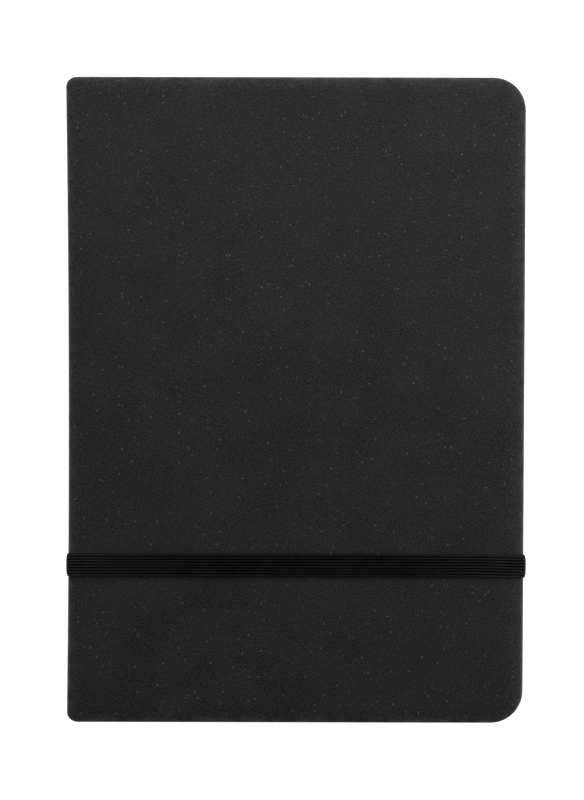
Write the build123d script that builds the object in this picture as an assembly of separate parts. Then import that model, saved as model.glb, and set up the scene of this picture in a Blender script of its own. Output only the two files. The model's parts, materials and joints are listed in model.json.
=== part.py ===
from build123d import *
import os

# A sketchbook lying on its back cover: +X to the fore-edge, +Y to the head, +Z up.
# The origin is at the bottom centre of the whole object, under the elastic's runs.

# driving dimensions, in millimetres
cover_width = 152.0  # spine to fore-edge, outside
cover_height = 215.0  # head to tail, outside
fore_corner = 10.8  # radius of the two corners at the fore-edge
spine_corner = 3.5  # radius of the two corners at the spine
board_thickness = 2.2
cloth_thickness = 0.4  # the leatherette that wraps the boards
cloth_round = 0.6  # rounding of the cloth over the boards' outer edges
inner_round = 0.15  # rounding where the cloth turns in
turn_in = 15.0  # how far the cloth is folded over the boards' inner faces
joint_clearance = 1.0  # an open board's edge stays this far from the spine

head_square = 2.5  # the cover stands this far past the pages at the head and the tail
fore_square = 1.8  # and this far at the fore-edge
leaf_thickness = 0.18
endpaper_thickness = 0.2
paste_inset = 3.0  # from the cover's edge to the pasted endpaper's edge

signatures = 8
leaves_in_signature = 8
signature_gap = 0.02
turning_leaves = 5  # loose leaves between the front flyleaf and the first signature
leaf_gap = 0.03
leaf_start = 0.2  # from the fold line to a turning leaf's edge
flyleaf_gap = 0.05  # between a flyleaf and its cover's hinge axis
hinge_lift = 0.3  # from a hinge axis to the pasted endpaper
paste_start = 0.1  # from the fold line to the pasted endpaper's edge

inlay_thickness = 0.7  # card strip inside the spine
gauze_thickness = 0.3
gauze_inset = 17.0  # from the pages' ends to the gauze
thread_diameter = 0.4
stitch_stations = 5
stitch_inset = 25.0  # from the pages' ends to the first and last stations
spine_drop = 0.6  # the spine strip ends this far inside each hinge axis
band_radius = 0.8  # bead of the head band and the tail band
band_tongue = 12.0  # tape glued down the spine
band_inset = 0.5  # bead centre from the fold line

elastic_width = 8.0
elastic_thickness = 0.8
elastic_gap = 0.05  # between the elastic and the covers
elastic_offset = -55.2  # centre of the band from the middle of the height
elastic_round = 0.4  # inside radius where it turns round the covers
slot_inset = 16.0  # from the cover's side to the slot that takes the elastic
slot_clearance = 0.1
tail_length = 14.0
tail_thickness = 0.4  # the glued end is pressed flat
small = 1e-3

# places worked out from them
half_width = cover_width / 2
half_height = cover_height / 2
spine_stack = cloth_thickness * 2 + inlay_thickness + gauze_thickness + thread_diameter
fold_x = spine_stack - half_width  # folds of the signatures, and the hinge axes
page_edge = half_width - fore_square
page_height = cover_height - 2 * head_square
page_corner = fore_corner - fore_square
paste_corner = fore_corner - paste_inset
joint_width = 2 * spine_stack + joint_clearance  # from the spine's outer face to a board
board_left = joint_width - half_width
wrap_seam = half_width - joint_width  # the side wraps end level with a board's edge
inlay_outer = cloth_thickness - half_width
inlay_inner = inlay_outer + inlay_thickness
lining_inner = inlay_inner + cloth_thickness

cover_stack = endpaper_thickness + cloth_thickness * 2 + board_thickness
signature_thickness = leaves_in_signature * leaf_thickness
signature_pitch = signature_thickness + signature_gap

back_outer_z = elastic_thickness + elastic_gap
back_inner_z = back_outer_z + cover_stack
back_axis_z = back_inner_z + hinge_lift
back_fly_z = back_axis_z + flyleaf_gap
block_z = back_fly_z + endpaper_thickness + leaf_gap
block_top_z = block_z + signatures * signature_pitch - signature_gap
turning_z = block_top_z + leaf_gap
front_fly_z = turning_z + turning_leaves * (leaf_thickness + leaf_gap)
front_axis_z = front_fly_z + endpaper_thickness + flyleaf_gap
front_inner_z = front_axis_z + hinge_lift
front_outer_z = front_inner_z + cover_stack
top_z = front_outer_z + elastic_gap + elastic_thickness
spine_low_z = back_axis_z + spine_drop
spine_high_z = front_axis_z - spine_drop


def block(x0, x1, y0, y1, z0, z1):
    """A box between two corners."""
    size = Box(x1 - x0, y1 - y0, z1 - z0)
    return Pos((x0 + x1) / 2, (y0 + y1) / 2, (z0 + z1) / 2) * size


def sheet(x0, x1, half, z0, z1, corner):
    """A flat plate whose two corners at +X are rounded."""
    plate = block(x0, x1, -half, half, z0, z1)
    at_fore_edge = plate.edges().filter_by(Axis.Z).group_by(Axis.X)[-1]
    return fillet(at_fore_edge, corner)


def book_outline(inset, z0, z1):
    """The closed book's outline, drawn in by inset and raised from z0 to z1."""
    x1, y1 = half_width - inset, half_height - inset
    body = block(-x1, x1, -y1, y1, z0, z1)
    uprights = body.edges().filter_by(Axis.Z).group_by(Axis.X)
    body = fillet(uprights[-1], fore_corner - inset)
    uprights = body.edges().filter_by(Axis.Z).group_by(Axis.X)
    return fillet(uprights[0], spine_corner - inset)


def on_cover(shape, side):
    """Place a shape drawn upwards from a cover's inner face at z = 0."""
    if side == "front":
        return Pos(0, 0, front_inner_z) * shape
    return Pos(0, 0, back_inner_z) * mirror(shape, about=Plane.XY)


def elastic_ring():
    """The whole closed loop of the band round the covers."""
    inner_x, inner_z = half_width + elastic_gap, (top_z - 2 * elastic_thickness) / 2
    outer = block(
        -inner_x - elastic_thickness, inner_x + elastic_thickness,
        elastic_offset - elastic_width / 2, elastic_offset + elastic_width / 2, 0, top_z,
    )
    outer = fillet(outer.edges().filter_by(Axis.Y), elastic_round + elastic_thickness)
    hole = block(
        -inner_x, inner_x, elastic_offset - elastic_width, elastic_offset + elastic_width,
        top_z / 2 - inner_z, top_z / 2 + inner_z,
    )
    hole = fillet(hole.edges().filter_by(Axis.Y), elastic_round)
    return outer - hole


def elastic_cut(x0, x1, z0, z1):
    """The piece of the loop between two places across the book."""
    reach = elastic_width
    return elastic_ring() & block(x0, x1, elastic_offset - reach, elastic_offset + reach, z0, z1)


def elastic_slots():
    """The two slots that let the elastic through the back cover, as cutters."""
    slots = []
    for way in (-1, 1):
        middle = way * (half_width - slot_inset)
        reach = elastic_thickness / 2 + slot_clearance
        wide = elastic_width / 2 + slot_clearance
        slots.append(block(
            middle - reach, middle + reach, elastic_offset - wide, elastic_offset + wide,
            0, back_inner_z - endpaper_thickness - cloth_thickness,
        ))
    return slots


def tail_recesses():
    """Room for the glued ends of the elastic under the back endpaper, as cutters."""
    floor = back_inner_z - endpaper_thickness - cloth_thickness
    recesses = []
    for way in (-1, 1):
        outer = half_width - slot_inset + elastic_thickness / 2 + slot_clearance
        inner = outer - elastic_thickness - tail_length - 2 * slot_clearance
        wide = elastic_width / 2 + slot_clearance
        recesses.append(block(
            min(way * inner, way * outer), max(way * inner, way * outer),
            elastic_offset - wide, elastic_offset + wide, floor - small, floor + tail_thickness,
        ))
    return recesses


def cover_board(side):
    """Greyboard of one cover."""
    low = endpaper_thickness + cloth_thickness
    board = sheet(
        board_left, half_width - cloth_thickness, half_height - cloth_thickness,
        low, low + board_thickness, fore_corner - cloth_thickness,
    )
    board = on_cover(board, side)
    return board - elastic_slots() if side == "back" else board


def cover_cloth(side):
    """Leatherette of one cover: its outer sheet, its edge walls and the turned-in margin."""
    low = endpaper_thickness
    high = cover_stack
    skin = sheet(board_left, half_width, half_height, low, high, fore_corner)
    skin = fillet(skin.edges().filter_by(lambda e: e.center().Z > high - small
                                         and e.center().X > board_left + small), cloth_round)
    skin = fillet(skin.edges().filter_by(lambda e: e.center().Z < low + small
                                         and e.center().X > board_left + small), inner_round)
    pocket = sheet(
        board_left - 1, half_width - cloth_thickness, half_height - cloth_thickness,
        low + cloth_thickness, high - cloth_thickness, fore_corner - cloth_thickness,
    )
    window = block(
        board_left - 1, half_width - turn_in, turn_in - half_height, half_height - turn_in,
        low - 1, low + cloth_thickness + small,
    )
    skin = on_cover(skin - pocket - window, side)
    return skin - elastic_slots() if side == "back" else skin


def pastedown(side):
    """Endpaper pasted inside a cover, with the card that levels it with the turned-in margin."""
    paper = sheet(
        fold_x + paste_start, half_width - paste_inset, half_height - paste_inset,
        0, endpaper_thickness, paste_corner,
    )
    level = block(
        board_left, half_width - turn_in - slot_clearance,
        turn_in + slot_clearance - half_height, half_height - turn_in - slot_clearance,
        endpaper_thickness, endpaper_thickness + cloth_thickness,
    )
    lined = on_cover(paper + level, side)
    return lined - tail_recesses() if side == "back" else lined


def cover_joint(side):
    """Flexible cloth between the spine strip and one board, round the book's long corner."""
    high = cover_stack
    inside = hinge_lift + spine_drop  # down to where the spine strip ends
    outer = book_outline(0, -inside, high)
    outer = fillet(outer.edges().filter_by(lambda e: e.center().Z > high - small), cloth_round)
    hollow = block(
        cloth_thickness - half_width, board_left + 1, -half_height, half_height,
        -inside - 1, high - cloth_thickness,
    )
    strip = (outer - hollow) & block(
        -half_width, board_left, -half_height, half_height, -inside, high)
    folded = book_outline(0, high - 2 * cloth_thickness, high - cloth_thickness)
    for way in (-1, 1):
        end = block(
            cloth_thickness - half_width, board_left,
            min(way * (half_height - turn_in), way * half_height),
            max(way * (half_height - turn_in), way * half_height), 0, high,
        )
        strip += folded & end
    return on_cover(strip, side)


def spine_strip():
    """Card inside the spine."""
    shape = book_outline(cloth_thickness, spine_low_z, spine_high_z)
    return shape & block(inlay_outer, inlay_inner, -half_height, half_height, 0, top_z)


def spine_cloth():
    """Leatherette over the spine strip, turned in at the head and the tail."""
    wall = book_outline(0, spine_low_z, spine_high_z) - book_outline(
        cloth_thickness, spine_low_z - 1, spine_high_z + 1)
    cloth = wall & block(-half_width, inlay_inner, -half_height, half_height, 0, top_z)
    for way in (-1, 1):
        inner_end = way * (half_height - turn_in)
        outer_end = way * half_height
        lining = book_outline(0, spine_low_z, spine_high_z) & block(
            inlay_inner, lining_inner, min(inner_end, outer_end), max(inner_end, outer_end),
            0, top_z,
        )
        cloth += lining
    return cloth


def signature(number):
    """A folded section of leaves, rounded along its fold."""
    low = block_z + number * signature_pitch
    body = sheet(fold_x, page_edge, page_height / 2, low, low + signature_thickness, page_corner)
    fold = body.edges().filter_by(Axis.Y).group_by(Axis.X)[0]
    return fillet(fold, signature_thickness / 2 - small)


def leaf(low, thickness):
    """A single leaf that turns."""
    return sheet(
        fold_x + leaf_start, page_edge, page_height / 2, low, low + thickness, page_corner)


def sewing():
    """The thread runs across the folds, one at each station."""
    span = page_height - 2 * stitch_inset
    pitch = span / (stitch_stations - 1)
    height = block_top_z - block_z - signature_thickness
    run = Cylinder((thread_diameter - leaf_gap) / 2, height)
    places = [n * pitch - span / 2 for n in range(stitch_stations)]
    middle = (block_z + block_top_z) / 2
    return [Pos(fold_x - thread_diameter / 2, y, middle) * run for y in places]


def gauze():
    """Open-weave lining glued over the sewn folds."""
    outer = fold_x - thread_diameter - gauze_thickness
    half = page_height / 2 - gauze_inset
    return block(outer, fold_x - thread_diameter, -half, half, spine_low_z, block_top_z)


def end_band(way):
    """Sewn bead across the ends of the folds, on a tape glued down the spine."""
    height = block_top_z - spine_low_z
    middle = (spine_low_z + block_top_z) / 2
    centre = page_height / 2 + band_radius
    bead = Pos(fold_x + band_inset, way * centre, middle) * Cylinder(band_radius, height)
    outer = fold_x - thread_diameter - gauze_thickness
    low, high = page_height / 2 - band_tongue, centre + band_radius / 2
    ends = sorted((way * low, way * high))
    tape = block(outer, fold_x - thread_diameter, *ends, spine_low_z, block_top_z)
    ends = sorted((way * (centre - band_radius / 2), way * high))
    bridge = block(outer, fold_x + band_inset, *ends, spine_low_z, block_top_z)
    return bead + tape + bridge


def elastic_anchor(way):
    """Back run of the elastic, its way through the slot and its glued end."""
    middle = half_width - slot_inset
    near, far = middle - elastic_thickness / 2, middle + elastic_thickness / 2
    y0, y1 = elastic_offset - elastic_width / 2, elastic_offset + elastic_width / 2
    level = back_inner_z - endpaper_thickness - cloth_thickness
    run = block(near, wrap_seam, y0, y1, 0, elastic_thickness)
    riser = block(near, far, y0, y1, 0, level + tail_thickness)
    tail = block(near - tail_length, far, y0, y1, level, level + tail_thickness)
    shape = run + riser + tail
    return shape if way > 0 else mirror(shape, about=Plane.YZ)


def elastic_wrap(way):
    """The elastic round one side of the book."""
    ends = sorted((way * wrap_seam, way * cover_width))
    return elastic_cut(*ends, -1, top_z + 1)


def elastic_front_run():
    """The elastic across the front cover."""
    return elastic_cut(-wrap_seam, wrap_seam, top_z / 2, top_z + 1)


parts = {
    "spine_inlay": spine_strip(),
    "cover_spine": spine_cloth(),
    "sewing_thread": sewing(),
    "spine_gauze": gauze(),
    "head_band": end_band(1),
    "tail_band": end_band(-1),
    "elastic_anchor_spine": elastic_anchor(-1),
    "elastic_anchor_fore": elastic_anchor(1),
    "elastic_wrap_spine": elastic_wrap(-1),
    "elastic_wrap_fore": elastic_wrap(1),
    "elastic_front_run": elastic_front_run(),
    "front_flyleaf": leaf(front_fly_z, endpaper_thickness),
    "back_flyleaf": leaf(back_fly_z, endpaper_thickness),
}
for side in ("front", "back"):
    parts[side + "_board"] = cover_board(side)
    parts["cover_" + side] = cover_cloth(side)
    parts[side + "_pastedown"] = pastedown(side)
    parts["cover_joint_" + side] = cover_joint(side)
for number in range(signatures):
    parts[f"signature_{number + 1}"] = signature(signatures - 1 - number)
for number in range(turning_leaves):
    from_block = turning_leaves - 1 - number
    low = turning_z + from_block * (leaf_thickness + leaf_gap)
    parts[f"leaf_{number + 1}"] = leaf(low, leaf_thickness)

os.makedirs("parts", exist_ok=True)
for name, shape in parts.items():
    solids = shape if isinstance(shape, list) else shape.solids()
    export_step(Compound(children=list(solids)), f"parts/{name}.step")
    print(f"{name}: {len(solids)} solid(s)")

print(f"front hinge axis x {fold_x:.3f} z {front_axis_z:.3f}")
print(f"back hinge axis x {fold_x:.3f} z {back_axis_z:.3f}")
print(f"elastic drops {front_outer_z + elastic_gap:.3f}, whole height {top_z:.3f}")
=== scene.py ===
import json
import math
import bmesh
import bpy
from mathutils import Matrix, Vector


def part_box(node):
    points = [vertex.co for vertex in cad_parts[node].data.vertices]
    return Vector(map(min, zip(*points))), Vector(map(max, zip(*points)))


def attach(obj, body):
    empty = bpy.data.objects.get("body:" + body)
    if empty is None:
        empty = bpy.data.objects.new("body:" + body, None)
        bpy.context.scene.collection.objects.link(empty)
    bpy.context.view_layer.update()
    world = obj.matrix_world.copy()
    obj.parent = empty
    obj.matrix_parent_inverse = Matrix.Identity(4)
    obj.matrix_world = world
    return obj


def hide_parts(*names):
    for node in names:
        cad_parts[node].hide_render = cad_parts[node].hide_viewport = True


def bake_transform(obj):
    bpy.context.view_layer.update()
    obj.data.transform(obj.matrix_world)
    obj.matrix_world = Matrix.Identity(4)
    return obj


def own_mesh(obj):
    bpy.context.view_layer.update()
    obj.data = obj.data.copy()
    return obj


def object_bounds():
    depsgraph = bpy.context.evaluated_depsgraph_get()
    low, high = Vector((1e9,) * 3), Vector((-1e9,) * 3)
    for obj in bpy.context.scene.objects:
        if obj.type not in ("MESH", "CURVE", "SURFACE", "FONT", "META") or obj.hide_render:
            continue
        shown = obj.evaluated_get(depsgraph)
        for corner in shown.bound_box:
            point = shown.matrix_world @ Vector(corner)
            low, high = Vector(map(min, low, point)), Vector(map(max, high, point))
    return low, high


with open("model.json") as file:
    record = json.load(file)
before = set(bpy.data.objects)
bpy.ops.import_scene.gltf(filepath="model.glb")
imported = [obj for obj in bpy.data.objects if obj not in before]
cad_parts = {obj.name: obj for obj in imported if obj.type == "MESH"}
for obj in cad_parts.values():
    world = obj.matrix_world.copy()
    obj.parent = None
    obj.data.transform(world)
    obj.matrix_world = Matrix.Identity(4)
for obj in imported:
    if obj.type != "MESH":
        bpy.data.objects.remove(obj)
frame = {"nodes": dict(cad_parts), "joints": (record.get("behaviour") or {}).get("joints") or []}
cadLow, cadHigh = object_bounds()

mm = 0.001
scene = bpy.context.scene

# Places read from the frame, in metres
frontLow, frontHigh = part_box("cover_front")
pasteLow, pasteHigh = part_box("front_pastedown")
spineLow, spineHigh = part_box("cover_spine")
blockLow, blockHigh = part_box("signature_1")
hingeOf = {j["name"]: Vector(j["pos_m"]) for j in frame["joints"] if "pos_m" in j}
foldX = blockLow.x
halfHeight = frontHigh.y
foreEdge = frontHigh.x
spineEdge = spineLow.x
boardStart = frontLow.x
innerFace = {"front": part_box("front_pastedown")[0].z, "back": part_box("back_pastedown")[1].z}
outward = {"front": 1.0, "back": -1.0}
spineEnd = {"front": spineHigh.z, "back": spineLow.z}
coverStack = frontHigh.z - innerFace["front"]
print("frame loaded, book", round(foreEdge - spineEdge, 4), "by", round(2 * halfHeight, 4))

cameraView = {
    "lens": 100.0, "sensor": 36.0,
    "tall": 265.9 * mm,       # what the picture takes in at the front cover
    "tilt": 1.96, "roll": 0.13,
    "aimX": -1.45 * mm, "aimY": 0.48 * mm,
}


def makeCamera():
    data = bpy.data.cameras.new("overheadCamera")
    data.lens = cameraView["lens"]
    data.sensor_width = cameraView["sensor"]
    camera = bpy.data.objects.new("overheadCamera", data)
    scene.collection.objects.link(camera)
    away = cameraView["tall"] * data.lens / data.sensor_width
    tilt = math.radians(cameraView["tilt"])
    aim = Vector((cameraView["aimX"], cameraView["aimY"], frontHigh.z))
    camera.location = aim + away * Vector((0, math.sin(tilt), math.cos(tilt)))
    camera.rotation_euler = (-tilt, 0, math.radians(cameraView["roll"]))
    data.clip_start, data.clip_end = 0.01, 20
    scene.camera = camera


makeCamera()
print("camera placed")


# Node helpers
def addNode(tree, kind, inputs=None, **settings):
    node = tree.nodes.new(kind)
    for name, value in settings.items():
        setattr(node, name, value)
    for name, value in (inputs or {}).items():
        socket = node.inputs[name]
        if isinstance(value, bpy.types.NodeSocket):
            tree.links.new(value, socket)
        else:
            socket.default_value = value
    return node


def mathNode(tree, operation, first, second=0.0, clamp=False):
    return addNode(tree, "ShaderNodeMath", {0: first, 1: second},
                   operation=operation, use_clamp=clamp).outputs[0]


def times(tree, first, second):
    return mathNode(tree, "MULTIPLY", first, second)


def vector(tree, **parts):
    return addNode(tree, "ShaderNodeCombineXYZ", parts).outputs[0]


def noise(tree, place, scale, detail, **more):
    inputs = {"Vector": place, "Scale": scale, "Detail": detail, **more}
    return addNode(tree, "ShaderNodeTexNoise", inputs).outputs["Fac"]


def attribute(tree, name, output="Fac"):
    return addNode(tree, "ShaderNodeAttribute", attribute_name=name).outputs[output]


def spread(tree, value, low, high, toLow=0.0, toHigh=1.0):
    return addNode(tree, "ShaderNodeMapRange", {
        "Value": value, "From Min": low, "From Max": high, "To Min": toLow, "To Max": toHigh,
    }).outputs["Result"]


def mixColour(tree, factor, first, second):
    return addNode(tree, "ShaderNodeMix", {0: factor, 6: first, 7: second},
                   data_type="RGBA").outputs[2]


def weighed(tree, *parts):
    total = None
    for value, weight in parts:
        term = times(tree, value, weight)
        total = term if total is None else mathNode(tree, "ADD", total, term)
    return total


def newGroup(name, inputs, outputs):
    # An input without a value is a vector; every other socket is a number
    tree = bpy.data.node_groups.new(name, "ShaderNodeTree")
    for label, value in inputs.items():
        kind = "NodeSocketVector" if value is None else "NodeSocketFloat"
        socket = tree.interface.new_socket(label, in_out="INPUT", socket_type=kind)
        if value is not None:
            socket.default_value = value
    for label in outputs:
        tree.interface.new_socket(label, in_out="OUTPUT", socket_type="NodeSocketFloat")
    return tree, tree.nodes.new("NodeGroupInput").outputs, tree.nodes.new("NodeGroupOutput").inputs


# Effects that several finishes share
def pebbleGroup():
    tree, given, made = newGroup("pebbleGrain", {
        "Vector": None, "Scale": 2400.0, "Patch Scale": 60.0}, ["Height", "Tone"])
    cells = addNode(tree, "ShaderNodeTexVoronoi", {
        "Vector": given["Vector"], "Scale": given["Scale"], "Smoothness": 0.6,
    }, feature="SMOOTH_F1")
    fine = noise(tree, given["Vector"], times(tree, given["Scale"], 1.7), 3.0)
    patch = noise(tree, given["Vector"], given["Patch Scale"], 4.0)
    height = mathNode(tree, "SUBTRACT", fine, times(tree, cells.outputs["Distance"], 0.8))
    tone = weighed(tree, (fine, 0.85), (patch, 0.15))
    tree.links.new(height, made["Height"])
    tree.links.new(tone, made["Tone"])
    return tree


def fleckGroup():
    tree, given, made = newGroup("dustFlecks", {
        "Vector": None, "Scale": 900.0, "Reach": 0.16, "Share": 0.3}, ["Mask"])
    cells = addNode(tree, "ShaderNodeTexVoronoi", {
        "Vector": given["Vector"], "Scale": given["Scale"],
    })
    pick = addNode(tree, "ShaderNodeSeparateColor", {0: cells.outputs["Color"]})
    chosen = mathNode(tree, "LESS_THAN", pick.outputs[0], given["Share"])
    near = mathNode(tree, "SUBTRACT", 1.0, mathNode(
        tree, "DIVIDE", cells.outputs["Distance"], given["Reach"]), clamp=True)
    bright = times(tree, near, pick.outputs[1])
    tree.links.new(times(tree, bright, chosen), made["Mask"])
    return tree


# Lighter patches along the rim: partly rubbing wear, partly a painted highlight where the rounded
# rim catches the light
def rubAndHighlightGroup():
    tree, given, made = newGroup("edgeRub", {
        "Vector": None, "Edge": 0.0, "Scale": 240.0}, ["Mask"])
    patch = noise(tree, given["Vector"], given["Scale"], 5.0)
    broken = spread(tree, patch, 0.34, 0.64)
    tree.links.new(times(tree, broken, given["Edge"]), made["Mask"])
    return tree


def fibreGroup():
    tree, given, made = newGroup("paperFibre", {
        "Vector": None, "Scale": 1500.0}, ["Height", "Tone"])
    tooth = noise(tree, given["Vector"], given["Scale"], 5.0, Roughness=0.65)
    cloud = noise(tree, given["Vector"], 45.0, 3.0)
    tree.links.new(tooth, made["Height"])
    tree.links.new(weighed(tree, (tooth, 0.85), (cloud, 0.15)), made["Tone"])
    return tree


def weaveGroup():
    tree, given, made = newGroup("threadWeave", {
        "Vector": None, "Along": 1000.0, "Across": 1000.0}, ["Height"])
    axes = addNode(tree, "ShaderNodeSeparateXYZ", {0: given["Vector"]}).outputs
    waves = []
    for axis, rate in (("Y", "Along"), ("Z", "Across")):
        turns = times(tree, times(tree, axes[axis], given[rate]), 2 * math.pi)
        waves.append(mathNode(tree, "SINE", turns))
    tree.links.new(spread(tree, times(tree, *waves), -1.0, 1.0), made["Height"])
    return tree


pebbleGrain, dustFlecks, edgeRub = pebbleGroup(), fleckGroup(), rubAndHighlightGroup()
paperFibre, threadWeave = fibreGroup(), weaveGroup()
print("shared effects built")


def startFinish(name, roughness, specular, colour):
    material = bpy.data.materials.new(name)
    material.use_nodes = True
    material.diffuse_color = (*colour, 1)
    tree = material.node_tree
    shader = tree.nodes["Principled BSDF"]
    shader.inputs["Base Color"].default_value = (*colour, 1)
    shader.inputs["Roughness"].default_value = roughness
    shader.inputs["Specular IOR Level"].default_value = specular
    return material, tree, shader


def fill(tree, group, inputs):
    return addNode(tree, "ShaderNodeGroup", inputs, node_tree=group)


def fleckMask(tree, place, plan):
    return fill(tree, dustFlecks, {
        "Vector": place, "Scale": plan["fleckScale"], "Reach": plan["fleckReach"],
        "Share": plan["fleckShare"]}).outputs["Mask"]


def bumpFrom(tree, height, strength, distance):
    return addNode(tree, "ShaderNodeBump", {
        "Height": height, "Strength": strength, "Distance": distance,
    }).outputs["Normal"]


leatherettePlan = {
    "dark": (0.003, 0.003, 0.0031, 1), "light": (0.041, 0.041, 0.0415, 1),
    # The rubbed colour is the lighter rim: rubbing wear and a painted highlight together
    "fleck": (0.26, 0.26, 0.26, 1), "rubbedAndHighlit": (0.085, 0.085, 0.085, 1),
    "grain": 1250.0, "patches": 55.0, "bump": 0.6, "depth": 0.07 * mm,
    "roughness": (0.52, 0.62), "specular": 0.55, "tone": (0.39, 0.61),
    "fleckScale": 950.0, "fleckReach": 0.4, "fleckShare": 0.1,
    "fleckStrength": 0.75, "rubAndHighlightStrength": 0.8,
}


def leatheretteFinish():
    plan = leatherettePlan
    material, tree, shader = startFinish("leatherette", 0.6, plan["specular"], (0.02,) * 3)
    place = attribute(tree, "place", "Vector")
    grain = fill(tree, pebbleGrain, {
        "Vector": place, "Scale": plan["grain"], "Patch Scale": plan["patches"]})
    flecks = fleckMask(tree, place, plan)
    # Painted highlight and rubbing wear: the rim is coloured lighter, in patches
    rubAndHighlight = fill(tree, edgeRub, {"Vector": place, "Edge": attribute(tree, "edge")}).outputs["Mask"]
    tone = spread(tree, grain.outputs["Tone"], *plan["tone"])
    colour = mixColour(tree, tone, plan["dark"], plan["light"])
    for mask, strength, tint in (
            (flecks, "fleckStrength", "fleck"), (rubAndHighlight, "rubAndHighlightStrength", "rubbedAndHighlit")):
        colour = mixColour(tree, times(tree, mask, plan[strength]), colour, plan[tint])
    low, high = plan["roughness"]
    tree.links.new(colour, shader.inputs["Base Color"])
    tree.links.new(spread(tree, grain.outputs["Tone"], 0.3, 0.7, high, low),
                   shader.inputs["Roughness"])
    tree.links.new(bumpFrom(tree, grain.outputs["Height"], plan["bump"], plan["depth"]),
                   shader.inputs["Normal"])
    return material


def paperFinish(name, dark, light, scale, depth, roughness):
    material, tree, shader = startFinish(name, roughness, 0.25, light[:3])
    place = attribute(tree, "place", "Vector")
    fibre = fill(tree, paperFibre, {"Vector": place, "Scale": scale})
    colour = mixColour(tree, spread(tree, fibre.outputs["Tone"], 0.3, 0.7), dark, light)
    tree.links.new(colour, shader.inputs["Base Color"])
    tree.links.new(spread(tree, fibre.outputs["Height"], 0.0, 1.0, roughness - 0.05, 0.98),
                   shader.inputs["Roughness"])
    tree.links.new(bumpFrom(tree, fibre.outputs["Height"], 0.35, depth), shader.inputs["Normal"])
    return material


boardPlan = {
    "dark": (0.2, 0.185, 0.165, 1), "light": (0.36, 0.335, 0.3, 1), "fleck": (0.1, 0.09, 0.08, 1),
    "plain": (0.3, 0.28, 0.25), "fibre": 900.0, "bump": 0.5, "depth": 0.08 * mm,
    "fleckScale": 700.0, "fleckReach": 0.35, "fleckShare": 0.4, "roughness": 0.9, "specular": 0.2,
}


def boardFinish():
    plan = boardPlan
    material, tree, shader = startFinish(
        "greyboard", plan["roughness"], plan["specular"], plan["plain"])
    place = addNode(tree, "ShaderNodeTexCoord").outputs["Object"]
    fibre = fill(tree, paperFibre, {"Vector": place, "Scale": plan["fibre"]})
    flecks = fleckMask(tree, place, plan)
    tone = spread(tree, fibre.outputs["Tone"], 0.3, 0.7)
    colour = mixColour(tree, tone, plan["dark"], plan["light"])
    colour = mixColour(tree, flecks, colour, plan["fleck"])
    tree.links.new(colour, shader.inputs["Base Color"])
    tree.links.new(bumpFrom(tree, fibre.outputs["Height"], plan["bump"], plan["depth"]),
                   shader.inputs["Normal"])
    return material


def threadFinish(name, dark, light, along, across, depth, roughness):
    material, tree, shader = startFinish(name, roughness, 0.25, light[:3])
    place = addNode(tree, "ShaderNodeTexCoord").outputs["Object"]
    weave = fill(tree, threadWeave, {"Vector": place, "Along": along, "Across": across})
    cloud = fill(tree, paperFibre, {"Vector": place, "Scale": 2600.0})
    mixed = weighed(tree, (weave.outputs["Height"], 0.7), (cloud.outputs["Height"], 0.3))
    tree.links.new(mixColour(tree, mixed, dark, light), shader.inputs["Base Color"])
    tree.links.new(spread(tree, mixed, 0.0, 1.0, roughness + 0.08, roughness - 0.05),
                   shader.inputs["Roughness"])
    tree.links.new(bumpFrom(tree, mixed, 0.6, depth), shader.inputs["Normal"])
    shader.inputs["Sheen Weight"].default_value = 0.15
    return material


elasticLook = {
    "dark": (0.003, 0.003, 0.0031, 1), "light": (0.031, 0.031, 0.0315, 1),
    # The groove colour is painted shade for the sides of the ribs and the web between them
    "grooveShade": (0.0003, 0.0003, 0.0003, 1), "endsHighlight": (0.038, 0.038, 0.0385, 1),
    # The worn colour and its reach are a painted highlight, lighter towards both ends of the band
    "endsHighlightFrom": 34.0 * mm, "endsHighlightTo": 80.0 * mm, "endsHighlightPower": 1.6,
    "crest": (0.4, 0.96), "slant": 0.6, "fuzz": 5200.0, "slow": 420.0,
    "knit": 0.7 * mm, "depth": 0.05 * mm, "roughness": 0.66, "specular": 0.03,
}


def elasticFinish():
    plan = elasticLook
    material, tree, shader = startFinish(
        "wovenElastic", plan["roughness"], plan["specular"], (0.008,) * 3)
    place = attribute(tree, "place", "Vector")
    axes = addNode(tree, "ShaderNodeSeparateXYZ", {0: place})
    slant = mathNode(tree, "ADD", attribute(tree, "along"),
                     times(tree, axes.outputs["Y"], plan["slant"]))
    turns = times(tree, slant, 2 * math.pi / plan["knit"])
    stitch = spread(tree, mathNode(tree, "SINE", turns), -1.0, 1.0)
    fuzz = fill(tree, paperFibre, {"Vector": place, "Scale": plan["fuzz"]})
    slow = fill(tree, paperFibre, {"Vector": place, "Scale": plan["slow"]})
    mixed = weighed(tree, (stitch, 0.2), (fuzz.outputs["Height"], 0.35),
                    (slow.outputs["Height"], 0.45))
    # Painted shade: the sides of each rib and the web between the ribs take a near-black colour;
    # only the crests keep the knit colour
    outsideGrooveShade = spread(tree, mathNode(tree, "ABSOLUTE", attribute(tree, "crest")), *plan["crest"])
    # Painted highlight: the colour grows lighter towards both ends of the band
    ends = spread(tree, mathNode(tree, "ABSOLUTE", axes.outputs["X"]),
                  plan["endsHighlightFrom"], plan["endsHighlightTo"])
    colour = mixColour(tree, spread(tree, mixed, 0.25, 0.75), plan["dark"], plan["light"])
    colour = mixColour(tree, mathNode(tree, "POWER", ends, plan["endsHighlightPower"]), colour, plan["endsHighlight"])
    colour = mixColour(tree, outsideGrooveShade, plan["grooveShade"], colour)
    tree.links.new(colour, shader.inputs["Base Color"])
    rough = spread(tree, mixed, 0.0, 1.0, plan["roughness"] + 0.1, plan["roughness"] - 0.06)
    tree.links.new(rough, shader.inputs["Roughness"])
    tree.links.new(bumpFrom(tree, mixed, 0.7, plan["depth"]), shader.inputs["Normal"])
    shader.inputs["Sheen Weight"].default_value = 0.01
    shader.inputs["Sheen Roughness"].default_value = 0.5
    return material


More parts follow.
